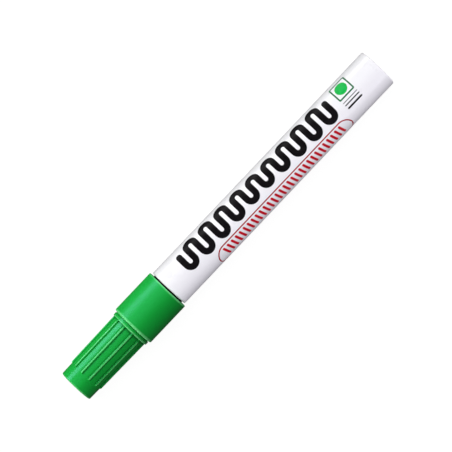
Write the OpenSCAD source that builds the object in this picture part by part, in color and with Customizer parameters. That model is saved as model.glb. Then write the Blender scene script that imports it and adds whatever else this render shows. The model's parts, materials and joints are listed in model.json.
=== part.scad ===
// Whiteboard marker: drawn metal barrel, fibre ink reservoir, bullet nib and a ribbed pull-off cap.
// It lies along X with the cap towards +X, on the surface z = 0, and the origin is under its middle.
// Each piece is drawn standing on Z, with z counted from the cap's closed end, and then laid down,
// which turns +Z to -X and +X to +Z.

/* [Barrel] */
// Overall length with the cap on
overall_length = 137; // [130:0.5:145]
// Outside diameter of the barrel
barrel_diameter = 13.7; // [13.6:0.05:13.8]
// Wall thickness of the barrel can
barrel_wall = 0.45; // [0.3:0.05:0.5]
// Thickness of the barrel's closed rear end
barrel_floor = 0.8; // [0.5:0.1:1.5]
// Radius of the edge rolled in over the holder
front_edge_radius = 1.0; // [0.8:0.05:1]
// Radius of the edge round the closed rear end
rear_edge_radius = 0.4; // [0.2:0.05:0.6]

/* [Cap] */
// Length of the cap
cap_length = 41.6; // [41.4:0.05:41.8]
// Outside diameter of the smooth skirt
skirt_diameter = 15.1; // [14.9:0.05:15.5]
// Where the skirt begins
skirt_start = 25.8; // [25.7:0.05:25.9]
// Radius of the skirt's edge beside the ring
skirt_edge_radius = 0.5; // [0.2:0.05:0.5]
// Diameter of the ring between grip and skirt
ring_diameter = 13.8; // [13.6:0.05:14]
// Length of the ring
ring_length = 1.1; // [0.95:0.05:1.2]
// Diameter at the bottom of the groove beside the ring
groove_diameter = 13.3; // [13.1:0.05:13.5]
// Width of that groove
groove_width = 0.35; // [0.2:0.05:0.4]
// Diameter of the cap at its closed end
end_diameter = 11.75; // [11.7:0.05:12]
// Diameter of the grip between its ribs, where it meets the ring
grip_diameter = 12.4; // [12.2:0.05:12.5]
// Chamfer of the small moulded edges
small_chamfer = 0.3; // [0.1:0.05:0.35]
// Thickness of the cap's closed end
cap_end_thickness = 1.5; // [1:0.1:2.5]

/* [Grip ribs] */
// Number of ribs round the grip
rib_count = 12; // [6:1:18]
// Where the ribs begin
rib_start = 4.7; // [3:0.1:8]
// Diameter over the ribs where they begin
rib_start_diameter = 12.9; // [12.7:0.05:13.1]
// Diameter over the ribs at the ring
rib_end_diameter = 13.38; // [13.2:0.05:13.5]
// Width of a rib at its crest
rib_crest_width = 0.5; // [0.3:0.05:0.7]
// Width of a rib at its foot
rib_foot_width = 0.95; // [0.8:0.05:1.2]
// Turn of the first rib from straight up, towards +Y
rib_turn = 14; // [0:1:29]

/* [Inner cap] */
// Thickness of the sealing liner's wall
liner_wall = 0.85; // [0.7:0.05:0.85]
// Where the liner's closed end begins
liner_start = 9.6; // [6:0.1:10]
// Where the liner's flange begins, on the step inside the cap
liner_flange_start = 27.35; // [27.3:0.05:27.5]
// Diameter of the liner's flange
liner_flange_diameter = 13; // [12.8:0.05:13.1]
// Thickness of that flange
liner_flange_thickness = 0.8; // [0.6:0.05:0.9]

/* [Nib holder] */
// Gap between the cap's mouth and the barrel, where the neck shows
neck_gap = 0.5; // [0.3:0.05:0.6]
// Diameter of the neck
neck_diameter = 11.76; // [11.4:0.02:11.76]
// Diameter of the collar that the skirt sits on
seat_diameter = 13.5; // [13.3:0.05:13.6]
// Length of that collar
seat_length = 4.2; // [3.5:0.1:4.5]
// Diameter of the holder's body ahead of the collar
body_diameter = 11.2; // [10.6:0.1:11.6]
// Diameter of the nose that the liner seals on
nose_diameter = 8; // [7.9:0.02:8]
// Where the nose begins
nose_start = 21; // [20.5:0.1:21.5]
// Length of the plug inside the barrel
plug_length = 12.5; // [10:0.5:13]
// Number of air channels along the nib
vent_count = 3; // [2:1:6]
// Width of an air channel
vent_width = 0.6; // [0.4:0.05:0.8]

/* [Nib and ink] */
// Diameter of the nib
nib_diameter = 4.6; // [4:0.1:4.8]
// Radius of the nib's writing point
nib_point_radius = 0.9; // [0.6:0.05:1.2]
// Length of nib outside the holder
nib_exposed = 5.5; // [5:0.1:5.6]
// Length of the nib
nib_length = 46.5; // [44:0.5:48]
// Diameter of the fibre bundle
core_diameter = 11.8; // [11.2:0.1:11.9]
// Thickness of the film round the bundle
film_thickness = 0.17; // [0.1:0.01:0.2]
// Outside diameter of the breather tube
breather_diameter = 1.0; // [0.8:0.05:1.2]

/* [Hidden] */
$fn = 96;

// clearances of the fits
running_gap = 0.05;
seal_gap = 0.1;
posting_gap = 0.1;
seat_gap = 0.02;
past = 1;

// barrel
barrel_r = barrel_diameter / 2;
barrel_front = cap_length + neck_gap;
bore_r = barrel_r - barrel_wall;
bore_front = barrel_front + barrel_wall;
bore_rear = overall_length - barrel_floor;
bore_edge_radius = front_edge_radius - barrel_wall;

// cap
skirt_r = skirt_diameter / 2;
skirt_bore_r = barrel_r + posting_gap;
ring_r = ring_diameter / 2;
ring_end = skirt_start - groove_width;
ring_start = ring_end - ring_length;
groove_r = groove_diameter / 2;
end_r = end_diameter / 2;
grip_r = grip_diameter / 2;
rib_start_r = rib_start_diameter / 2;
rib_end_r = rib_end_diameter / 2;
nose_r = nose_diameter / 2;
liner_bore_r = nose_r + seal_gap;
liner_r = liner_bore_r + liner_wall;
grip_bore_r = liner_r + running_gap;
step_z = liner_flange_start - running_gap;

// holder and nib
neck_r = neck_diameter / 2;
seat_r = seat_diameter / 2;
seat_end = cap_length - 0.5;
seat_start = seat_end - seat_length;
bead_z = seat_end - seat_length / 2;
bead_width = 0.8;
bead_r = skirt_bore_r - running_gap;
body_r = body_diameter / 2;
plug_r = bore_r - seat_gap;
plug_start = bore_front + seat_gap;
plug_end = plug_start + plug_length;
plug_wall = 1;
plug_web = 3;
vent_depth = 0.4;
nib_r = nib_diameter / 2;
nib_bore_r = nib_r + seat_gap;
nib_tip = nose_start - nib_exposed;
nib_taper_length = 4;
nib_end = nib_tip + nib_length;

// ink reservoir
reservoir_start = plug_end + 1;
reservoir_end = bore_rear - 0.3;
core_r = core_diameter / 2;
core_inset = 0.3;
film_r = core_r + seat_gap;
breather_r = breather_diameter / 2;
breather_wall = 0.2;
breather_z = reservoir_start + 1;
breather_end = reservoir_end - 1;
breather_offset = core_r - breather_r - seat_gap;

// Lays a piece drawn on Z down along X, on the skirt
module lay_down() {
    translate([overall_length / 2, 0, skirt_r]) rotate([0, -90, 0]) children();
}

// Half outline of a round bar with its two outer edges rounded
module rounded_half(radius, low, high, low_round, high_round) {
    translate([0, low]) square([radius - low_round, high - low]);
    translate([0, low + low_round]) square([radius - high_round, high - low - low_round]);
    translate([0, low + low_round]) square([radius, high - low - low_round - high_round]);
    quarter(radius - low_round, low + low_round, low_round);
    quarter(radius - high_round, high - high_round, high_round);
}

// Disc that rounds an outer edge, kept clear of the axis
module quarter(x, y, radius) {
    translate([x, y]) circle(r = radius);
}

// Full round hole along Z
module hole(radius, low, high) {
    translate([0, 0, low]) cylinder(r = radius, h = high - low);
}

module barrel() {
    color("white") lay_down() difference() {
        rotate_extrude() rounded_half(
            barrel_r, barrel_front, overall_length, front_edge_radius, rear_edge_radius);
        rotate_extrude() rounded_half(
            bore_r, bore_front, bore_rear, bore_edge_radius, rear_edge_radius / 2);
        hole(neck_r + seat_gap, barrel_front - past, bore_front + past);
    }
}

// Outline of the moulded holder, from the nose to the end of the plug
module holder_outline() {
    c = small_chamfer;
    shoulder = nose_start + 8.4;
    polygon([
        [0, nose_start], [nose_r - 0.8, nose_start], [nose_r, nose_start + 1.4],
        [nose_r, shoulder], [body_r - 0.1, shoulder + 1.6], [body_r, seat_start],
        [seat_r - c, seat_start], [seat_r, seat_start + c],
        [seat_r, bead_z - bead_width / 2], [bead_r, bead_z - bead_width / 4],
        [bead_r, bead_z + bead_width / 4], [seat_r, bead_z + bead_width / 2],
        [seat_r, seat_end - c], [seat_r - c, seat_end],
        [neck_r, seat_end], [neck_r, plug_start],
        [plug_r - bore_edge_radius, plug_start], [plug_r, plug_start + bore_edge_radius],
        [plug_r, plug_end - c], [plug_r - c, plug_end], [0, plug_end]
    ]);
}

module nib_holder() {
    color("#1a1a1c") lay_down() difference() {
        rotate_extrude() holder_outline();
        hole(nib_bore_r, nose_start - past, plug_end + past);
        hole(plug_r - plug_wall, plug_start + plug_web, plug_end + past);
        for (i = [0 : vent_count - 1]) rotate([0, 0, i * 360 / vent_count]) vent_channel();
    }
}

// Channel that lets air past the nib into the barrel
module vent_channel() {
    translate([0, -vent_width / 2, nose_start - past])
        cube([nib_bore_r + vent_depth, vent_width, plug_end - nose_start + 2 * past]);
}

module nib() {
    taper_z = nib_tip + nib_taper_length;
    tail_z = nib_end - nib_taper_length;
    color("#1d6b38") lay_down() union() {
        translate([0, 0, nib_tip + nib_point_radius]) sphere(r = nib_point_radius);
        translate([0, 0, nib_tip + nib_point_radius])
            cylinder(r1 = nib_point_radius, r2 = nib_r, h = nib_taper_length - nib_point_radius);
        hole(nib_r, taper_z, tail_z);
        translate([0, 0, tail_z]) cylinder(r1 = nib_r, r2 = nib_r / 2, h = nib_taper_length);
    }
}

module reservoir_core() {
    low = reservoir_start + core_inset;
    color("#2e8b57") lay_down() difference() {
        hole(core_r, low, reservoir_end - core_inset);
        // the nib's tail is pushed into the bundle
        hole(nib_bore_r, low - past, nib_end + seat_gap);
        // channel along the bundle for the breather tube
        translate([breather_offset, 0, low - past])
            cylinder(r = breather_r + seat_gap, h = reservoir_end - low + 2 * past);
        translate([breather_offset, -breather_r - seat_gap, low - past])
            cube([past, 2 * (breather_r + seat_gap), reservoir_end - low + 2 * past]);
    }
}

module reservoir_sleeve() {
    color("#dfe8e4", 0.5) lay_down() difference() {
        hole(film_r + film_thickness, reservoir_start, reservoir_end);
        hole(film_r, reservoir_start - past, reservoir_end + past);
    }
}

module breather_tube() {
    color("#f2f2ee") lay_down() translate([breather_offset, 0, 0]) difference() {
        hole(breather_r, breather_z, breather_end);
        hole(breather_r - breather_wall, breather_z - past, breather_end + past);
    }
}

module inner_cap() {
    color("#d8e2da") lay_down() difference() {
        union() {
            hole(liner_r, liner_start, liner_flange_start + liner_flange_thickness);
            hole(
                liner_flange_diameter / 2,
                liner_flange_start, liner_flange_start + liner_flange_thickness);
        }
        hole(
            liner_bore_r, liner_start + liner_wall,
            liner_flange_start + liner_flange_thickness + past);
    }
}

// Outline of the cap without its ribs, before it is hollowed
module cap_outline() {
    c = small_chamfer;
    polygon([
        [0, 0], [end_r - c, 0], [end_r, c], [grip_r, ring_start],
        [ring_r - c / 2, ring_start], [ring_r, ring_start + c / 2],
        [ring_r, ring_end - c / 2], [ring_r - c / 2, ring_end],
        [groove_r, ring_end], [groove_r, skirt_start],
        [skirt_r - skirt_edge_radius, skirt_start],
        [skirt_r - skirt_edge_radius, skirt_start + skirt_edge_radius],
        [skirt_r, skirt_start + skirt_edge_radius],
        [skirt_r, cap_length - c / 2], [skirt_r - c / 2, cap_length], [0, cap_length]
    ]);
    quarter(skirt_r - skirt_edge_radius, skirt_start + skirt_edge_radius, skirt_edge_radius);
}

// Outline of the hollow inside the cap
module cap_hollow_outline() {
    c = small_chamfer;
    catch_z = liner_flange_start + liner_flange_thickness + running_gap;
    catch_r = liner_flange_diameter / 2 - 0.2;
    snap_r = bead_r + 0.2;
    polygon([
        [0, cap_end_thickness], [grip_bore_r, cap_end_thickness], [grip_bore_r, step_z],
        // the flange of the liner is caught between this step and the bead after it
        [skirt_bore_r, step_z], [skirt_bore_r, catch_z], [catch_r, catch_z + 0.2],
        [catch_r, catch_z + 0.4], [skirt_bore_r, catch_z + 0.9],
        // groove that the bead on the holder's collar snaps into
        [skirt_bore_r, bead_z - bead_width], [snap_r, bead_z - bead_width / 2],
        [snap_r, bead_z + bead_width / 2], [skirt_bore_r, bead_z + bead_width],
        [skirt_bore_r, cap_length - c], [skirt_bore_r + c / 2, cap_length],
        [skirt_bore_r + c / 2, cap_length + past], [0, cap_length + past]
    ]);
}

// Ribs: straight bars trimmed to a slightly widening outline
module grip_ribs() {
    foot_r = end_r - 0.3;
    slope = 0.4;
    intersection() {
        for (i = [0 : rib_count - 1])
            rotate([0, 0, rib_turn + i * 360 / rib_count]) rib_bar(foot_r);
        rotate_extrude() polygon([
            [foot_r, rib_start - slope], [end_r, rib_start - slope],
            [rib_start_r, rib_start + slope / 2], [rib_end_r, ring_start + 0.1],
            [foot_r, ring_start + 0.1]
        ]);
    }
}

module rib_bar(foot_r) {
    translate([0, 0, rib_start - past]) linear_extrude(height = ring_start - rib_start + 2 * past)
        polygon([
            [foot_r, -rib_foot_width / 2], [ring_r, -rib_crest_width / 2],
            [ring_r, rib_crest_width / 2], [foot_r, rib_foot_width / 2]
        ]);
}

module cap_shell() {
    color("#20aa3c") lay_down() difference() {
        union() {
            rotate_extrude() cap_outline();
            grip_ribs();
        }
        rotate_extrude() cap_hollow_outline();
    }
}

barrel();
nib_holder();
nib();
reservoir_core();
reservoir_sleeve();
breather_tube();
inner_cap();
cap_shell();
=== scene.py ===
"""Whiteboard marker: the looks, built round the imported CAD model.

Places along the marker are millimetres from the cap's closed end. Radii are millimetres from the
marker's axis, and angles round it are degrees from straight up, positive towards +Y. Meshes are
written in metres.
"""

import json
import math

import bmesh
import bpy
from mathutils import Matrix, Vector

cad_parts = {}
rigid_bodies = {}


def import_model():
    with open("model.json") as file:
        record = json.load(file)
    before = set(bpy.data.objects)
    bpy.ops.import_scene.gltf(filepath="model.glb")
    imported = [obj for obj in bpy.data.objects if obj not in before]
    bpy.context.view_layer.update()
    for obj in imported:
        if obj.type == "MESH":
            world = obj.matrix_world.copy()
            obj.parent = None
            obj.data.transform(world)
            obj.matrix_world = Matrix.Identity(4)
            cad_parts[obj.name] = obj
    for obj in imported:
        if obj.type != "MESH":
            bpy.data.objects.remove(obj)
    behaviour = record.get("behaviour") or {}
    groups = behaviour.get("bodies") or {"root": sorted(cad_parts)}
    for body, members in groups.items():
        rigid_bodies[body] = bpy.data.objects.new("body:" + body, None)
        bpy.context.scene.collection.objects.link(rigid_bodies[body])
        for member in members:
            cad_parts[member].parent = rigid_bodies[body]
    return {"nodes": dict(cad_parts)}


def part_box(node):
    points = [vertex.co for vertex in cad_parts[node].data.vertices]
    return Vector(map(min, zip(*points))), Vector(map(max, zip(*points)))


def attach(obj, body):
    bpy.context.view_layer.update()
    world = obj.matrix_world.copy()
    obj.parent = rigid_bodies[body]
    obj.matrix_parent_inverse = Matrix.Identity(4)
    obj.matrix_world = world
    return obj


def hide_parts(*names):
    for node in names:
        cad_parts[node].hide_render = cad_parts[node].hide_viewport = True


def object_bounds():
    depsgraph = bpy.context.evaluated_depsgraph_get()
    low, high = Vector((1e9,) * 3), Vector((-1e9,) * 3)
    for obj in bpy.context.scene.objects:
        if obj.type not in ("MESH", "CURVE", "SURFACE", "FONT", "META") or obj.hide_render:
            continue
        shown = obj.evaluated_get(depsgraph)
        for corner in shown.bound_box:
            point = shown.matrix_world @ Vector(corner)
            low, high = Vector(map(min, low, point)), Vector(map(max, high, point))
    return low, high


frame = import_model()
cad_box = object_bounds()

MM = 0.001

# ---------------------------------------------------------------- where the CAD model has its parts

CAP_LOW, CAP_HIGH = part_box("cap_shell")
CAP_END_X = CAP_HIGH.x
AXIS_Z = (CAP_LOW.z + CAP_HIGH.z) / 2


def span(node):
    """Nearest to the cap's end, furthest from it, and outer radius of a CAD node, in millimetres."""
    low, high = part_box(node)
    return (CAP_END_X - high.x) / MM, (CAP_END_X - low.x) / MM, (high.y - low.y) / 2 / MM


_, CAP_MOUTH, SKIRT_R = span("cap_shell")
BARREL_FRONT, BARREL_REAR, BARREL_R = span("barrel")
NOSE_START, PLUG_END, BEAD_R = span("nib_holder")
NIB_TIP, NIB_END, NIB_R = span("nib")
LINER_START, LINER_MOUTH, FLANGE_R = span("inner_cap")

# ---------------------------------------------------------------- mesh making

# SUPPORT is how far from the end of a straight stretch its extra point lies, faces that meet at more
# than SHARP_ANGLE show an edge, and points closer than TINY are one point.
TURN_STEPS = 192
ARC_STEP = math.radians(12)
SUPPORT = 0.12
SHARP_ANGLE = math.radians(32)
TINY = 1e-6


def place(along, radius, degrees):
    """A point of the frame from its place along, out from and round the marker's axis."""
    turn = math.radians(degrees)
    out = radius * MM
    return Vector((CAP_END_X - along * MM, out * math.sin(turn), AXIS_Z + out * math.cos(turn)))


def rounded(corner, before, after, rounding):
    """Points of the arc that rounds a corner of an outline."""
    back = before - corner
    on = after - corner
    half = back.angle(on) / 2
    reach = min(rounding / math.tan(half), 0.49 * back.length, 0.49 * on.length)
    start = corner + back.normalized() * reach
    end = corner + on.normalized() * reach
    middle = corner + (back.normalized() + on.normalized()).normalized() * reach / math.cos(half)
    turn = math.pi - 2 * half
    steps = max(2, math.ceil(turn / ARC_STEP))
    arc = []
    for i in range(steps + 1):
        towards_end = math.sin(turn * i / steps) / math.sin(turn)
        towards_start = math.sin(turn * (1 - i / steps)) / math.sin(turn)
        arc.append(middle + (start - middle) * towards_start + (end - middle) * towards_end)
    return arc


def outline(*corners):
    """Points of a half outline. A corner is (along, radius) or (along, radius, rounding).

    A long straight stretch gets a point close to each end, so that smooth shading keeps it flat."""
    spots = [Vector(c[:2]) for c in corners]
    points = []
    for i, corner in enumerate(corners):
        if len(corner) == 3 and 0 < i < len(corners) - 1:
            points += rounded(spots[i], spots[i - 1], spots[i + 1], corner[2])
        else:
            points.append(spots[i])
    supported = points[:1]
    for a, b in zip(points, points[1:]):
        if (b - a).length > 4 * SUPPORT:
            step = (b - a).normalized() * SUPPORT
            supported += [a + step, b - step]
        supported.append(b)
    return supported


def with_steps(points, low, high, step):
    """The outline, with points no further apart than step between two places along the marker."""
    made = points[:1]
    for a, b in zip(points, points[1:]):
        cuts = [0.0, 1.0]
        if abs(b.x - a.x) > step:
            cuts += [(edge - a.x) / (b.x - a.x) for edge in (low, high)]
        cuts = sorted(c for c in cuts if 0 <= c <= 1)
        for c, d in zip(cuts, cuts[1:]):
            near = a.lerp(b, c)
            far = a.lerp(b, d)
            inside = low < (near.x + far.x) / 2 < high
            count = max(1, math.ceil((far - near).length / step)) if inside else 1
            made += [near.lerp(far, (i + 1) / count) for i in range(count)]
    return made


def join_rings(maker, near, far):
    """Faces between two rings of points, either of which may be a single pole."""
    count = max(len(near), len(far))
    for i in range(count):
        j = (i + 1) % count
        corners = [near[i % len(near)], near[j % len(near)], far[j % len(far)], far[i % len(far)]]
        unique = list(dict.fromkeys(corners))
        if len(unique) > 2:
            maker.faces.new(unique)


def turned(points, angles=None, reshape=None, paint_light_and_shade=None):
    """Turns a half outline round the axis. Its ends meet, or become poles if they lie on the axis.

    reshape(along, radius, degrees) may give a point another radius, and the last argument, a function of
    the same three, may give it a painted highlight, up to 1, or painted shade, down to -1."""
    maker = bmesh.new()
    painted_light_and_shade = maker.verts.layers.float.new("painted_light_and_shade") if paint_light_and_shade else None
    angles = angles or [360 * i / TURN_STEPS for i in range(TURN_STEPS)]
    rings = []
    for along, radius in points:
        if radius < TINY:
            rings.append([maker.verts.new(place(along, 0, 0))])
            continue
        ring = []
        for degrees in angles:
            out = reshape(along, radius, degrees) if reshape else radius
            ring.append(maker.verts.new(place(along, out, degrees)))
            if paint_light_and_shade:
                ring[-1][painted_light_and_shade] = paint_light_and_shade(along, radius, degrees)
        rings.append(ring)
    for near, far in zip(rings, rings[1:]):
        join_rings(maker, near, far)
    if points[0].y > TINY:
        join_rings(maker, rings[-1], rings[0])
    return maker


def finished(name, maker, material, body, replaced=()):
    """Makes an object of a bmesh, shades it, attaches it to its body and hides the CAD parts it replaces.
    """
    bmesh.ops.recalc_face_normals(maker, faces=maker.faces)
    for edge in maker.edges:
        edge.smooth = edge.calc_face_angle() < SHARP_ANGLE
    for face in maker.faces:
        face.smooth = True
    mesh = bpy.data.meshes.new(name)
    maker.to_mesh(mesh)
    maker.free()
    mesh.materials.append(material)
    piece = bpy.data.objects.new(name, mesh)
    bpy.context.scene.collection.objects.link(piece)
    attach(piece, body)
    if replaced:
        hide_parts(*replaced)


# ---------------------------------------------------------------- materials

# Blender's noise lies mostly between these.
NOISE_LOW = 0.3
NOISE_HIGH = 0.7


class Surface:
    """A node material with one principled shader, and short ways to add texture to it."""

    def __init__(self, name, colour, roughness, **sockets):
        self.material = bpy.data.materials.new(name)
        self.material.use_nodes = True
        self.tree = self.material.node_tree
        self.shader = self.tree.nodes["Principled BSDF"]
        self.shader.inputs["Base Color"].default_value = (*colour, 1)
        self.shader.inputs["Roughness"].default_value = roughness
        for socket, value in sockets.items():
            self.shader.inputs[socket.replace("_", " ")].default_value = value
        self.spot = self.tree.nodes.new("ShaderNodeTexCoord").outputs["Object"]
        self.last_bump = None

    def node(self, kind, inputs):
        """A new node. Each input is given another node's output or a value."""
        made = self.tree.nodes.new(kind)
        for key, value in inputs.items():
            if isinstance(value, bpy.types.NodeSocket):
                self.tree.links.new(value, made.inputs[key])
            else:
                made.inputs[key].default_value = value
        return made

    def noise(self, size, detail=3.0, stretch=1.0, distortion=0.0):
        """Noise with features about size millimetres across, and longer along the marker if stretched."""
        scale = (1 / (MM * size * stretch), 1 / (MM * size), 1 / (MM * size))
        spots = self.node("ShaderNodeMapping", {"Vector": self.spot, "Scale": scale})
        made = self.node("ShaderNodeTexNoise", {
            "Vector": spots.outputs["Vector"], "Scale": 1.0, "Detail": detail,
            "Distortion": distortion,
        })
        return made.outputs["Fac"]

    def colours(self, value, *stops):
        """Base colours for the value: stops are (position, colour) pairs."""
        made = self.node("ShaderNodeValToRGB", {"Fac": value})
        elements = made.color_ramp.elements
        while len(elements) < len(stops):
            elements.new(0.5)
        for element, (position, colour) in zip(elements, stops):
            element.position = position
            element.color = (*colour, 1)
        self.tree.links.new(made.outputs["Color"], self.shader.inputs["Base Color"])

    def plus(self, value, share, other):
        """The other value plus a share of the first."""
        made = self.tree.nodes.new("ShaderNodeMath")
        made.operation = "MULTIPLY_ADD"
        for socket, given in zip(made.inputs, (value, share, other)):
            if isinstance(given, bpy.types.NodeSocket):
                self.tree.links.new(given, socket)
            else:
                socket.default_value = given
        return made.outputs["Value"]

    def between(self, value, start, end, low=0.0, high=1.0):
        """From low, where the value is start, to high, where it is end."""
        made = self.node("ShaderNodeMapRange", {
            "Value": value, "From Min": start, "From Max": end, "To Min": low, "To Max": high,
        })
        return made.outputs["Result"]

    def roughness(self, value, low, high, *changes):
        """Roughness from low to high as the noise varies, plus (value, amount) changes."""
        made = self.between(value, NOISE_LOW, NOISE_HIGH, low, high)
        for changed, amount in changes:
            made = self.plus(changed, amount, made)
        self.tree.links.new(made, self.shader.inputs["Roughness"])

    def bump(self, height, depth):
        """Relief of the given depth in millimetres, on top of the bumps before it."""
        made = self.node("ShaderNodeBump", {"Height": height, "Distance": depth * MM})
        if self.last_bump:
            self.tree.links.new(self.last_bump, made.inputs["Normal"])
        self.last_bump = made.outputs["Normal"]
        self.tree.links.new(self.last_bump, self.shader.inputs["Normal"])


def cap_plastic():
    """Green moulded plastic: flow clouds, a fine grain, painted highlights and shade on edges and ribs,
    and a glossier grip.
    """
    skin = Surface(
        "cap_plastic", (0.01, 0.5, 0.055), 0.38,
        Specular_IOR_Level=0.6, Specular_Tint=(0.3, 0.85, 1.0, 1),
    )
    mark = skin.tree.nodes.new("ShaderNodeAttribute")
    mark.attribute_name = "painted_light_and_shade"
    # The painted highlights and shade vary in strength in patches.
    patches = skin.between(skin.noise(1.3, detail=4), 0.25, 0.6, 0.7, 1.0)
    painted_light_and_shade = skin.plus(mark.outputs["Fac"], patches, 0.0)
    clouds = skin.noise(9, detail=2, stretch=2.5)
    darker = 0.46
    lighter = 0.54
    tone = skin.between(clouds, NOISE_LOW, NOISE_HIGH, darker, lighter)
    # The colour runs from painted shade, dark, through the plastic's own tones to painted highlight,
    # pale.
    skin.colours(
        skin.plus(painted_light_and_shade, 0.5, tone), (0.0, (0.003, 0.2, 0.02)), (darker, (0.0095, 0.48, 0.052)),
        (lighter, (0.0115, 0.52, 0.06)), (1.0, (0.24, 0.98, 0.36)),
    )
    along = skin.node("ShaderNodeSeparateXYZ", {"Vector": skin.spot}).outputs["X"]
    grip = skin.between(along, CAP_END_X - SATIN_START * MM, CAP_END_X - GLOSS_END * MM)
    skin.roughness(skin.noise(3.5), 0.34, 0.42, (grip, -0.13))
    skin.bump(skin.noise(0.25, detail=1), 0.0003)
    skin.bump(skin.noise(6, detail=1), 0.012)
    return skin.material


def barrel_enamel():
    """White stoved enamel over drawn metal: faint orange peel and handling marks."""
    paint = Surface(
        "barrel_enamel", (0.86, 0.86, 0.88), 0.28, Coat_Weight=0.2, Coat_Roughness=0.15,
    )
    paint.colours(paint.noise(14, detail=2), (0.3, (0.855, 0.855, 0.876)), (0.7, (0.87, 0.87, 0.887)))
    paint.roughness(paint.noise(5, detail=4), 0.26, 0.33)
    paint.bump(paint.noise(0.9, detail=1), 0.0016)
    return paint.material


def holder_plastic():
    """Black moulded plastic with a satin grain."""
    skin = Surface("holder_plastic", (0.007, 0.007, 0.008), 0.5, Specular_IOR_Level=0.35)
    skin.colours(skin.noise(5), (0.3, (0.005, 0.005, 0.006)), (0.7, (0.01, 0.01, 0.011)))
    skin.roughness(skin.noise(1.6), 0.42, 0.56)
    skin.bump(skin.noise(0.18, detail=2), 0.0015)
    return skin.material


def liner_plastic():
    """Natural milky plastic of the sealing liner."""
    skin = Surface(
        "liner_plastic", (0.74, 0.8, 0.75), 0.38, Subsurface_Weight=0.35,
        Subsurface_Radius=(1.0, 1.0, 1.0), Subsurface_Scale=0.8 * MM,
    )
    skin.colours(skin.noise(4, detail=2), (0.3, (0.7, 0.77, 0.71)), (0.7, (0.78, 0.83, 0.78)))
    skin.roughness(skin.noise(2), 0.3, 0.45)
    skin.bump(skin.noise(0.3, detail=2), 0.0012)
    return skin.material


def nib_fibre():
    """Bonded fibres running along the nib, soaked with green ink."""
    felt = Surface("nib_fibre", (0.02, 0.2, 0.05), 0.75, Sheen_Weight=0.15, Sheen_Roughness=0.6)
    strands = felt.noise(0.11, stretch=16)
    felt.colours(
        strands, (0.3, (0.006, 0.075, 0.02)), (0.5, (0.014, 0.17, 0.045)),
        (0.72, (0.05, 0.32, 0.11)),
    )
    felt.roughness(strands, 0.6, 0.9)
    felt.bump(strands, 0.03)
    return felt.material


def core_fibre():
    """Loose crimped fibre of the ink reservoir."""
    wadding = Surface(
        "core_fibre", (0.06, 0.4, 0.16), 0.9, Sheen_Weight=0.2, Sheen_Roughness=0.5
    )
    strands = wadding.noise(0.25, detail=4, stretch=9, distortion=0.6)
    wadding.colours(strands, (0.3, (0.015, 0.16, 0.05)), (0.7, (0.14, 0.55, 0.27)))
    wadding.roughness(strands, 0.8, 0.95)
    wadding.bump(strands, 0.08)
    return wadding.material


def clear_film():
    """Thin clear film, a little cloudy."""
    film = Surface("clear_film", (0.86, 0.93, 0.9), 0.15, Transmission_Weight=0.8)
    film.colours(film.noise(6), (0.3, (0.82, 0.9, 0.87)), (0.7, (0.9, 0.96, 0.93)))
    film.roughness(film.noise(3), 0.1, 0.25)
    return film.material


def tube_plastic():
    """Pale extruded plastic of the breather tube."""
    skin = Surface("tube_plastic", (0.85, 0.86, 0.82), 0.35)
    lines = skin.noise(0.3, stretch=12)
    skin.colours(lines, (0.3, (0.8, 0.82, 0.77)), (0.7, (0.88, 0.89, 0.86)))
    skin.roughness(lines, 0.28, 0.42)
    return skin.material


def print_ink(name, colour):
    """Screen-printed ink, slightly uneven in colour and gloss."""
    ink = Surface(name, colour, 0.4, Specular_IOR_Level=0.1)
    paler = [c * 1.25 + 0.002 for c in colour]
    ink.colours(ink.noise(1.1), (0.35, colour), (0.75, paler))
    ink.roughness(ink.noise(2.2), 0.32, 0.46)
    ink.bump(ink.noise(0.35, detail=1), 0.001)
    return ink.material


# ---------------------------------------------------------------- cap

# The outside, from the closed end to the mouth.
END_R = 5.875
END_ROUND = 0.4
GRIP_R = 6.2
RING_START = 24.35
RING_END = 25.45
RING_R = 6.9
GROOVE_R = 6.65
SKIRT_START = 25.8
SKIRT_ROUND = 0.5

# The ribs on the grip. Their crests rise from RIB_START_R near the closed end to RIB_END_R.
RIB_COUNT = 12
RIB_TURN = 14
RIB_START = 4.7
RIB_SLOPE = 0.6
RIB_START_R = 6.45
RIB_END_R = 6.69
RIB_HALF = 0.5
RIB_FILLET = 0.06
RIB_FULLNESS = 2.6
RIB_PITCH = 360 / RIB_COUNT

# The bore. Its catch holds the liner's flange, and its groove takes the holder's bead.
CAP_END_WALL = 1.5
GRIP_BORE_R = 5.0
STEP = 27.3
SKIRT_BORE_R = BARREL_R + 0.1
CATCH_R = FLANGE_R - 0.2
SNAP = CAP_MOUTH - 2.6
SNAP_GROOVE_R = SKIRT_BORE_R + 0.14

# The mesh is finer along the ribs' ends and the edges with painted highlights. Where the ribs are, only
# the outside of the cap is wider than OUTSIDE_R.
RIB_END_STEP = 0.09
RIB_STEP = 2.5
EDGE_STEP = 0.2
EDGE_REACH = 1.2
OUTSIDE_R = GRIP_BORE_R + 0.5

# The skin: the grip is glossy up to GLOSS_END, and the skirt is satin from SATIN_START. Above 0 the skin
# is painted paler, a painted highlight, and below 0 darker, a painted shade. Reaches across a rib are in
# halves of its width.
GLOSS_END = 25
SATIN_START = 26
# Painted highlights and shade on the edges, and the painted shade beside the ribs, are stronger towards
# +Y and weaker towards -Y by this share.
PAINTED_LIGHT_SWING = 0.5
# Each rib's crest gets a painted highlight, and its feet, RIB_FOOT half widths from its middle, get a
# painted shade.
RIB_PAINTED_HIGHLIGHT = 0.75
RIB_HIGHLIGHT_REACH = 0.66
RIB_PAINTED_SHADE = 0.9
RIB_FOOT = 1.05
RIB_FOOT_REACH = 0.5
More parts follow.
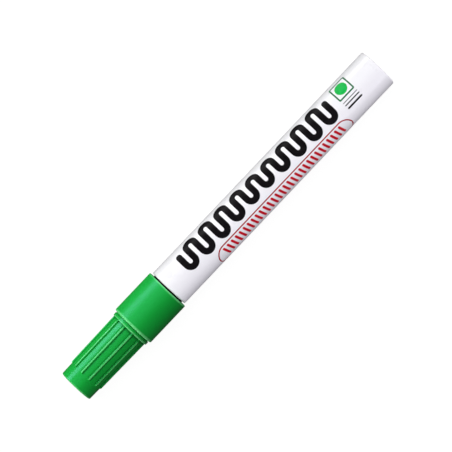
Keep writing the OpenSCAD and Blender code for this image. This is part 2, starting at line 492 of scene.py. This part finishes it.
# Painted highlights on the rounded edges of the end, ring, skirt and mouth, and painted shade in the
# corner before the ring and in the groove before the skirt.
PAINTED_LIGHT_PLACES = (
    (0.1, END_R - 0.1, 0.6, 0.6),
    (RING_START + 0.2, RING_R - 0.1, 0.5, 1.6),
    (SKIRT_START + 0.3, SKIRT_R - 0.1, 0.7, 1.2),
    (CAP_MOUTH - 0.1, SKIRT_R - 0.1, 0.6, 1.1),
    (RING_START, GRIP_R, 1.1, -1.2),
    (SKIRT_START, GROOVE_R, 0.5, -0.9),
)


def eased(value):
    """From 0 to 1 with flat ends."""
    value = min(1, max(0, value))
    return value * value * (3 - 2 * value)


def rib_angles():
    """Angles round the cap, close together across each rib."""
    across = [RIB_HALF * math.sin(math.radians(a)) for a in range(-90, 91, 12)]
    across = [-RIB_HALF - RIB_FILLET] + across + [RIB_HALF + RIB_FILLET]
    near = [math.degrees(w / RIB_END_R) for w in across]
    gap_steps = 6
    gap = [near[-1] + (RIB_PITCH - 2 * near[-1]) * i / gap_steps for i in range(1, gap_steps)]
    return [RIB_TURN + k * RIB_PITCH + a for k in range(RIB_COUNT) for a in near + gap]


def across_rib(degrees):
    """From 0 in the middle of the nearest rib to 1 at its side, and more beside it."""
    off = (degrees - RIB_TURN + RIB_PITCH / 2) % RIB_PITCH - RIB_PITCH / 2
    return abs(math.radians(off)) * RIB_END_R / RIB_HALF


def rib_tip(along):
    """How far a rib has risen, from 0 before its start to 1."""
    return eased((along - RIB_START + RIB_SLOPE / 2) / RIB_SLOPE)


def rib_shape(along, radius, degrees):
    """Radius of the cap's outside, with the round-topped ribs standing on the grip."""
    if radius < OUTSIDE_R or not RIB_START - RIB_SLOPE < along < RING_START + 0.01:
        return radius
    base = END_R + (GRIP_R - END_R) * along / RING_START
    crest = RIB_START_R + (RIB_END_R - RIB_START_R) * (along - RIB_START) / (RING_START - RIB_START)
    flank = (1 - min(1, across_rib(degrees)) ** RIB_FULLNESS) ** 0.5
    fade = min(1, (RING_R - radius) / (RING_R - base))
    return radius + (crest - base) * flank * rib_tip(along) * fade


def cap_painted_light_and_shade(along, radius, degrees):
    """Painted light and shade on the cap's skin: painted highlights on edges and rib crests, and painted
    shade in the corners beside them.

    A place is a point of the outline, how far round it the painting reaches, and its amount. What
    they add up to is kept between -1 and 1."""
    spot = Vector((along, radius))
    change = 0
    for x, y, reach, amount in PAINTED_LIGHT_PLACES:
        change += amount * max(0, 1 - (spot - Vector((x, y))).length / reach)
    # Painted highlights and shade on the edges are stronger towards +Y and weaker towards -Y, the lit
    # side.
    towards_shaded_side = 1 + PAINTED_LIGHT_SWING * math.sin(math.radians(degrees))
    change *= towards_shaded_side
    # Painted highlight along each rib's crest, and painted shade at its feet, stronger towards +Y.
    if RIB_START - RIB_SLOPE < along < RING_START and radius > OUTSIDE_R:
        tip = rib_tip(along)
        across = across_rib(degrees)
        change += RIB_PAINTED_HIGHLIGHT * tip * max(0, 1 - (across / RIB_HIGHLIGHT_REACH) ** 2)
        change -= RIB_PAINTED_SHADE * towards_shaded_side * tip * max(0, 1 - abs(across - RIB_FOOT) / RIB_FOOT_REACH)
    return min(1, max(-1, change))


def make_cap(material):
    """The green outer cap, with its ribs, ring, skirt and hollow inside."""
    points = outline(
        (0, 0), (0, END_R, END_ROUND), (RING_START, GRIP_R, 0.12),
        (RING_START, RING_R, 0.16), (RING_END, RING_R, 0.16),
        (RING_END, GROOVE_R, 0.08), (SKIRT_START, GROOVE_R, 0.08),
        (SKIRT_START, SKIRT_R, SKIRT_ROUND), (CAP_MOUTH, SKIRT_R, 0.25),
        (CAP_MOUTH, SKIRT_BORE_R + 0.15, 0.08), (CAP_MOUTH - 0.3, SKIRT_BORE_R, 0.1),
        (SNAP + 0.8, SKIRT_BORE_R), (SNAP + 0.4, SNAP_GROOVE_R),
        (SNAP - 0.4, SNAP_GROOVE_R), (SNAP - 0.8, SKIRT_BORE_R),
        (LINER_MOUTH + 0.95, SKIRT_BORE_R, 0.2), (LINER_MOUTH + 0.45, CATCH_R, 0.1),
        (LINER_MOUTH + 0.25, CATCH_R, 0.05), (LINER_MOUTH + 0.05, SKIRT_BORE_R),
        (STEP, SKIRT_BORE_R), (STEP, GRIP_BORE_R), (CAP_END_WALL, GRIP_BORE_R, 0.3),
        (CAP_END_WALL, 0),
    )
    points = with_steps(points, RIB_START - RIB_SLOPE, RIB_START + RIB_SLOPE, RIB_END_STEP)
    points = with_steps(points, RIB_START + RIB_SLOPE, RING_START - EDGE_REACH, RIB_STEP)
    for edge in (0, RING_START, SKIRT_START, CAP_MOUTH):
        points = with_steps(points, edge - EDGE_REACH, edge + EDGE_REACH, EDGE_STEP)
    maker = turned(points, rib_angles(), rib_shape, cap_painted_light_and_shade)
    finished("cap_moulding", maker, material, "cap_body", ["cap_shell"])


def make_liner(material):
    """The sealing liner: a cup with a flange at its mouth."""
    wall = 0.85
    outer_r = 4.95
    bore_r = outer_r - wall
    flange = LINER_MOUTH - 0.8
    points = outline(
        (LINER_START, 0), (LINER_START, outer_r, 0.35), (flange, outer_r, 0.15),
        (flange, FLANGE_R, 0.1), (LINER_MOUTH, FLANGE_R, 0.15),
        (LINER_MOUTH, bore_r + 0.3, 0.1), (LINER_MOUTH - 0.6, bore_r, 0.4),
        (LINER_START + wall, bore_r, 0.3), (LINER_START + wall, 0),
    )
    maker = turned(points)
    finished("liner_moulding", maker, material, "liner_body", ["inner_cap"])


# ---------------------------------------------------------------- barrel, holder and nib

# The can, with a shallow dish pressed into its rear end.
FIT = 0.02
NECK_R = 5.88
MOUTH_R = NECK_R + FIT
BARREL_WALL = 0.45
BARREL_FLOOR = 0.8
FRONT_ROUND = 1.0
REAR_ROUND = 0.4
DISH_R = 5.4
DISH_DEPTH = 0.12

# The holder: a nose for the nib, the seat that the cap closes on, and a plug in the can.
NOSE_R = 4.0
NOSE_LENGTH = 8.4
BODY_R = 5.6
SEAT_R = 6.75
SEAT_END = CAP_MOUTH - 0.5
SEAT_START = SEAT_END - 4.2
PLUG_START = BARREL_FRONT + BARREL_WALL + FIT
PLUG_R = BARREL_R - BARREL_WALL - FIT
PLUG_WALL = 1.0
PLUG_WEB = 3.0

# The holder's bore, with air channels along it.
NIB_BORE_R = NIB_R + FIT
VENT_COUNT = 3
VENT_WIDTH = 0.6
VENT_DEPTH = 0.4
VENT_PITCH = 360 / VENT_COUNT
VENT_WALL = math.degrees(math.asin(VENT_WIDTH / 2 / NIB_BORE_R))


def make_barrel(material):
    """The enamelled can, rolled in at the front and closed at the rear."""
    bore_r = BARREL_R - BARREL_WALL
    inside_front = BARREL_FRONT + BARREL_WALL
    inside_rear = BARREL_REAR - BARREL_FLOOR
    points = outline(
        (BARREL_REAR - DISH_DEPTH, 0), (BARREL_REAR - DISH_DEPTH, DISH_R - 0.5, 0.8),
        (BARREL_REAR, DISH_R, 0.6), (BARREL_REAR, BARREL_R, REAR_ROUND),
        (BARREL_FRONT, BARREL_R, FRONT_ROUND), (BARREL_FRONT, MOUTH_R, 0.08),
        (inside_front, MOUTH_R, 0.05), (inside_front, bore_r, FRONT_ROUND - BARREL_WALL),
        (inside_rear, bore_r, 0.2), (inside_rear, 0),
    )
    maker = turned(points)
    finished("barrel_can", maker, material, "barrel_body", ["barrel"])


def vent_angles():
    """Angles round the holder, with a close pair at each wall of the air channels."""
    clear = 1
    beside = 0.25
    angles = [360 * i / TURN_STEPS for i in range(TURN_STEPS)]
    for k in range(VENT_COUNT):
        for side in (-1, 1):
            wall = k * VENT_PITCH + side * VENT_WALL
            angles = [a for a in angles if abs((a - wall + 180) % 360 - 180) > clear]
            angles += [wall - beside, wall + beside]
    return sorted(a % 360 for a in angles)


def vent_shape(along, radius, degrees):
    """Radius of the holder's bore, with its air channels."""
    if radius > NIB_BORE_R + 0.3:
        return radius
    off = abs((degrees + VENT_PITCH / 2) % VENT_PITCH - VENT_PITCH / 2)
    return radius + VENT_DEPTH if off < VENT_WALL else radius


def make_holder(material):
    """The black holder. Its outline comes back to its start, so the repeated point is left out."""
    shoulder = NOSE_START + NOSE_LENGTH
    web = PLUG_START + PLUG_WEB
    points = outline(
        (NOSE_START, NIB_BORE_R), (NOSE_START, NOSE_R - 0.8, 0.25),
        (NOSE_START + 1.4, NOSE_R, 0.6), (shoulder, NOSE_R, 0.3),
        (shoulder + 1.6, BODY_R - 0.1, 0.4), (SEAT_START, BODY_R, 0.12),
        (SEAT_START, SEAT_R, 0.22), (SNAP - 0.4, SEAT_R, 0.2), (SNAP - 0.2, BEAD_R, 0.1),
        (SNAP + 0.2, BEAD_R, 0.1), (SNAP + 0.4, SEAT_R, 0.2), (SEAT_END, SEAT_R, 0.22),
        (SEAT_END, NECK_R, 0.1), (PLUG_START, NECK_R), (PLUG_START, PLUG_R, 0.6),
        (PLUG_END, PLUG_R, 0.2), (PLUG_END, PLUG_R - PLUG_WALL, 0.15),
        (web, PLUG_R - PLUG_WALL, 0.2), (web, NIB_BORE_R), (NOSE_START, NIB_BORE_R),
    )[:-1]
    maker = turned(points, vent_angles(), vent_shape)
    finished("holder_moulding", maker, material, "barrel_body", ["nib_holder"])


def make_nib(material):
    """The bullet nib, tapered at the end that stands in the reservoir."""
    points = outline(
        (NIB_TIP, 0), (NIB_TIP, 0.85, 0.7), (NIB_TIP + 4, NIB_R, 3.5),
        (NIB_END - 4, NIB_R, 1.5), (NIB_END, NIB_R / 2, 0.4), (NIB_END, 0),
    )
    finished("nib_bullet", turned(points), material, "barrel_body", ["nib"])


# ---------------------------------------------------------------- prints on the barrel

# The ink stands INK_RISE out of the enamel and reaches INK_SINK into it.
INK_RISE = 0.02
INK_SINK = 0.06
SHEET_STEP = 0.45
DEGREES_PER_MM = math.degrees(1 / BARREL_R)

# Plain graphics stand where the marker carries its printing. An area is its two ends along the
# marker and its two angles round it.
SCRIBBLE_AREA = (50.3, 118.0, -64, 19)
SCRIBBLE_WIDTH = 2.1
SCRIBBLE_PASSES = 20
PILL_AREA = (59.6, 119.1, 27, 88)
PILL_WIDTH = 0.42
BAR_AREA = (62.9, 115.6, 36.5, 63.5)
BAR_WIDTH = 0.85
BAR_COUNT = 30
BAR_LEAN = 0.8
SQUARE_AREA = (120.9, 126.9, -58.5, -10.5)
SQUARE_WIDTH = 0.48
SQUARE_CORNER = 0.3
DOT_WIDTH = 4.3
LINE_START = 120.9
LINE_END = 127.1
LINES = ((0, 0.2), (8, 0.35), (18.5, 0.6))
INKS = {
    "black": (0.004, 0.003, 0.004),
    "red": (0.5, 0.009, 0.02),
    "dark_red": (0.32, 0.007, 0.014),
    "green": (0.012, 0.42, 0.07),
    "dark_green": (0.01, 0.13, 0.045),
}


def wrap(maker, rows, closed):
    """Adds a thin closed patch of ink to the mesh, wrapped on the barrel.

    rows are lines of points (along, round), both in millimetres on the barrel's surface."""
    tops = []
    unders = []
    for row in rows:
        tops.append([
            maker.verts.new(place(p.x, BARREL_R + INK_RISE, p.y * DEGREES_PER_MM)) for p in row
        ])
        unders.append([
            maker.verts.new(place(p.x, BARREL_R - INK_SINK, p.y * DEGREES_PER_MM)) for p in row
        ])
    count = len(rows)
    for i in range(count if closed else count - 1):
        j = (i + 1) % count
        for k in range(len(rows[0]) - 1):
            maker.faces.new((tops[i][k], tops[i][k + 1], tops[j][k + 1], tops[j][k]))
            maker.faces.new((unders[j][k], unders[j][k + 1], unders[i][k + 1], unders[i][k]))
        for k in (0, -1):
            maker.faces.new((tops[i][k], tops[j][k], unders[j][k], unders[i][k]))
    if not closed:
        for i in (0, -1):
            for k in range(len(rows[0]) - 1):
                maker.faces.new((tops[i][k], tops[i][k + 1], unders[i][k + 1], unders[i][k]))


def resampled(points, step):
    """Points along a path, no further apart than step."""
    made = points[:1]
    for a, b in zip(points, points[1:]):
        count = max(1, math.ceil((b - a).length / step))
        made += [a.lerp(b, (i + 1) / count) for i in range(count)]
    return made


def across_path(points, i, closed):
    """Direction across a path at one of its points."""
    count = len(points)
    before = points[(i - 1) % count] if closed or i > 0 else points[i]
    after = points[(i + 1) % count] if closed or i < count - 1 else points[i]
    along = (after - before).normalized()
    return Vector((-along.y, along.x))


def stroke(maker, path, width, closed):
    """Adds a printed stroke along a path of points. An open stroke has round ends."""
    half = width / 2
    points = resampled(path, SHEET_STEP)
    halves = [half] * len(points)
    if closed:
        points = points[:-1] if (points[0] - points[-1]).length < TINY else points
        halves = halves[:len(points)]
    else:
        # Twice, the path's start gets its round end and the path is turned about.
        ends = [math.sin(math.radians(a)) for a in (15, 30, 45, 60, 75, 89)]
        for _ in range(2):
            out = (points[0] - points[1]).normalized()
            start = points[0]
            points = [start + out * half * e for e in reversed(ends)] + points
            halves = [half * math.sqrt(1 - e * e) for e in reversed(ends)] + halves
            points.reverse()
            halves.reverse()
    steps = max(1, math.ceil(width / SHEET_STEP))
    rows = []
    for i, point in enumerate(points):
        side = across_path(points, i, closed)
        rows.append([point + side * halves[i] * (2 * k / steps - 1) for k in range(steps + 1)])
    wrap(maker, rows, closed)


def box_path(low, high, corner):
    """Closed path round a box from its low to its high corner, with round corners."""
    path = []
    for cx, cy, start in (
        (high.x - corner, high.y - corner, 0), (low.x + corner, high.y - corner, 90),
        (low.x + corner, low.y + corner, 180), (high.x - corner, low.y + corner, 270),
    ):
        for i in range(13):
            turn = math.radians(start + 90 * i / 12)
            path.append(Vector((cx + corner * math.cos(turn), cy + corner * math.sin(turn))))
    return path + path[:1]


def scribble_path(low, high, width, passes):
    """Path of a scribble in a box: straight passes joined by half circles.

    The passes grow and shrink along it, as they do under a hand."""
    half = width / 2
    pitch = (high.x - low.x - width) / (passes - 1)
    turn_r = pitch / 2
    middle = (low.y + high.y) / 2
    path = []
    for i in range(passes):
        centre = low.x + half + i * pitch
        swell = 0.8 + 0.2 * math.sin(math.radians(12 + 26 * i))
        reach = ((high.y - low.y) / 2 - half - turn_r) * swell
        upward = 1 if i % 2 == 0 else -1
        for k in range(9):
            path.append(Vector((centre, middle + upward * reach * (k / 4 - 1))))
        if i < passes - 1:
            for k in range(1, 12):
                a = math.radians(180 - 15 * k)
                path.append(Vector((
                    centre + turn_r + turn_r * math.cos(a),
                    middle + upward * (reach + turn_r * math.sin(a)),
                )))
    return path


def printed(name, ink, strokes):
    """One print on the barrel, made of strokes: (path, width, whether it is closed)."""
    maker = bmesh.new()
    for path, width, closed in strokes:
        stroke(maker, path, width, closed)
    finished(name, maker, ink, "barrel_body")


def on_barrel(along, degrees):
    """A point of the barrel's surface as (along, round), both in millimetres."""
    return Vector((along, degrees / DEGREES_PER_MM))


def area_corners(area):
    """Low and high corner of an area of the barrel."""
    start, end, first, last = area
    return on_barrel(start, first), on_barrel(end, last)


def make_scribble(ink):
    """A thick line up and down, as heavy as the large printing on the marker."""
    low, high = area_corners(SCRIBBLE_AREA)
    path = scribble_path(low, high, SCRIBBLE_WIDTH, SCRIBBLE_PASSES)
    printed("print_scribble", ink, [(path, SCRIBBLE_WIDTH, False)])


def make_pill(ink):
    """A thin outline with round ends."""
    low, high = area_corners(PILL_AREA)
    printed("print_pill", ink, [(box_path(low, high, (high.y - low.y) / 2), PILL_WIDTH, True)])


def make_bars(ink):
    """A row of leaning bars inside the pill."""
    low, high = area_corners(BAR_AREA)
    bars = []
    for i in range(BAR_COUNT):
        x = low.x + (high.x - low.x - BAR_LEAN) * i / (BAR_COUNT - 1)
        bars.append(([Vector((x, low.y)), Vector((x + BAR_LEAN, high.y))], BAR_WIDTH, False))
    printed("print_bars", ink, bars)


def make_square(ink, dot_ink):
    """A square outline, and a dot in its middle, which is a very short wide stroke."""
    low, high = area_corners(SQUARE_AREA)
    printed("print_square", ink, [(box_path(low, high, SQUARE_CORNER), SQUARE_WIDTH, True)])
    middle = (low + high) / 2
    nudge = Vector((0.02, 0))
    printed("print_dot", dot_ink, [([middle - nudge, middle + nudge], DOT_WIDTH, False)])


def make_lines(ink):
    """Thin lines along the marker, each thicker than the one before."""
    lines = []
    for degrees, width in LINES:
        start = on_barrel(LINE_START + width / 2, degrees)
        end = on_barrel(LINE_END - width / 2, degrees)
        lines.append(([start, end], width, False))
    printed("print_lines", ink, lines)


def make_prints(inks):
    """All the printing, from a dictionary of inks."""
    make_scribble(inks["black"])
    make_pill(inks["dark_red"])
    make_bars(inks["red"])
    make_square(inks["dark_green"], inks["green"])
    make_lines(inks["black"])


# ---------------------------------------------------------------- floor, light and camera

# The camera, in metres. VIEW_WIDTH is what it sees at the marker's axis, and the marker's middle is
# AIM_RIGHT and AIM_DOWN off the picture's.
CAMERA_HEIGHT = 0.92
VIEW_WIDTH = 0.1410
AIM_RIGHT = 0.00027
AIM_DOWN = 0.00028
SENSOR = 36.0
TILT = math.radians(46.56)

FLOOR_R = 3.0
FLOOR_GREY = (0.15, 0.15, 0.15)
FLOOR_GLOW = 0.94
WORLD_LIGHT = 0.06
WORLD_SEEN = 0.95
WHITE = (1, 1, 1)
COOL = (1, 0.965, 1.06)


def make_floor():
    """Pale floor that shows hardly any shadow and throws no light back on the marker."""
    maker = bmesh.new()
    bmesh.ops.create_circle(maker, cap_ends=True, segments=96, radius=FLOOR_R)
    mesh = bpy.data.meshes.new("floor")
    maker.to_mesh(mesh)
    maker.free()
    floor = bpy.data.objects.new("floor", mesh)
    bpy.context.scene.collection.objects.link(floor)
    paper = Surface(
        "floor_paper", FLOOR_GREY, 0.9, Specular_IOR_Level=0.0,
        Emission_Color=(*WHITE, 1), Emission_Strength=FLOOR_GLOW,
    )
    mesh.materials.append(paper.material)
    floor.visible_diffuse = False
    floor.visible_glossy = False


def make_world():
    """Pale surroundings for the camera, which light the pieces only a little."""
    world = bpy.data.worlds.new("studio")
    bpy.context.scene.world = world
    world.use_nodes = True
    nodes = world.node_tree.nodes
    links = world.node_tree.links
    dim = nodes["Background"]
    pale = nodes.new("ShaderNodeBackground")
    for background, strength in ((dim, WORLD_LIGHT), (pale, WORLD_SEEN)):
        background.inputs["Color"].default_value = (*WHITE, 1)
        background.inputs["Strength"].default_value = strength
    path = nodes.new("ShaderNodeLightPath")
    mix = nodes.new("ShaderNodeMixShader")
    links.new(path.outputs["Is Camera Ray"], mix.inputs["Fac"])
    links.new(dim.outputs["Background"], mix.inputs[1])
    links.new(pale.outputs["Background"], mix.inputs[2])
    links.new(mix.outputs["Shader"], nodes["World Output"].inputs["Surface"])


def light_groups():
    """Two collections for the lights: the barrel with its prints, and everything else."""
    barrel_pieces = bpy.data.collections.new("barrel_pieces")
    other_pieces = bpy.data.collections.new("other_pieces")
    for piece in list(bpy.context.scene.objects):
        is_barrel = piece.name == "barrel_can" or piece.name.startswith("print_")
        group = barrel_pieces if is_barrel else other_pieces
        group.objects.link(piece)
    return barrel_pieces, other_pieces


def make_light(name, lit, towards, distance, size, power, colour=WHITE, mirrored=True):
    """Soft box in a direction from the marker, which lights only the pieces of a collection.

    One that isn't mirrored leaves no highlight on them."""
    data = bpy.data.lights.new(name, "AREA")
    data.shape = "RECTANGLE"
    data.size, data.size_y = size
    data.energy = power
    data.color = colour
    light = bpy.data.objects.new(name, data)
    light.location = Vector((0, 0, AXIS_Z)) + towards * distance
    sideways = Vector((1, 0, 0)) if abs(towards.x) < 0.5 else Vector((0, 1, 0))
    across = towards.cross(sideways).normalized()
    light.rotation_euler = Matrix((across.cross(towards), across, towards)).transposed().to_euler()
    light.visible_camera = False
    light.visible_glossy = mirrored
    light.light_linking.receiver_collection = lit
    bpy.context.scene.collection.objects.link(light)


def aim(degrees, lean=0):
    """Direction some degrees round the marker from straight up, leaning towards the cap's end."""
    turn = math.radians(degrees)
    out = math.cos(math.radians(lean))
    return Vector((math.sin(math.radians(lean)), out * math.sin(turn), out * math.cos(turn)))


def make_lights():
    """One set of lights for the barrel and one for the rest. Their brighter side is towards -Y."""
    barrel_pieces, other_pieces = light_groups()
    make_light("key", other_pieces, aim(-65), 0.6, (0.7, 0.27), 2.4)
    make_light("high", other_pieces, aim(-20), 0.9, (0.8, 0.84), 3.5, mirrored=False)
    make_light("front_end", other_pieces, aim(0, 75), 0.6, (0.3, 0.15), 1.4, mirrored=False)
    make_light("rear_end", other_pieces, aim(0, -75), 0.6, (0.3, 0.15), 1.2, mirrored=False)
    make_light("barrel_high", barrel_pieces, aim(-30, 32), 0.9, (0.8, 0.66), 7.3, mirrored=False)
    make_light("barrel_side", barrel_pieces, aim(40, -34), 1.0, (1.2, 0.7), 8.5, COOL)
    make_light("barrel_low", barrel_pieces, aim(-80), 0.6, (0.7, 0.2), 1.9)
    make_light("barrel_end", barrel_pieces, aim(0, -86), 0.6, (0.3, 0.08), 0.9, mirrored=False)


def make_camera():
    """Camera straight above the marker, turned so that the cap is at the lower left."""
    data = bpy.data.cameras.new("camera")
    data.sensor_width = SENSOR
    data.lens = SENSOR * CAMERA_HEIGHT / VIEW_WIDTH
    data.clip_start = 0.05
    data.clip_end = 10
    camera = bpy.data.objects.new("camera", data)
    low, high = cad_box
    middle = (low + high) / 2
    right = Vector((-math.cos(TILT), math.sin(TILT), 0))
    up = Vector((-math.sin(TILT), -math.cos(TILT), 0))
    back = Vector((0, 0, 1))
    turn = Matrix((right, up, back)).transposed().to_4x4()
    spot = Vector((middle.x, middle.y, AXIS_Z + CAMERA_HEIGHT)) - right * AIM_RIGHT + up * AIM_DOWN
    camera.matrix_world = Matrix.Translation(spot) @ turn
    bpy.context.scene.collection.objects.link(camera)
    bpy.context.scene.camera = camera


# ---------------------------------------------------------------- build

make_cap(cap_plastic())
make_liner(liner_plastic())
make_barrel(barrel_enamel())
make_holder(holder_plastic())
make_nib(nib_fibre())
make_prints({name: print_ink("ink_" + name, colour) for name, colour in INKS.items()})
for node, material in (
    ("reservoir_core", core_fibre()),
    ("reservoir_sleeve", clear_film()),
    ("breather_tube", tube_plastic()),
):
    for material_slot in frame["nodes"][node].material_slots:
        material_slot.material = material

make_floor()
make_world()
make_lights()
make_camera()
bpy.context.scene.view_settings.view_transform = "Standard"
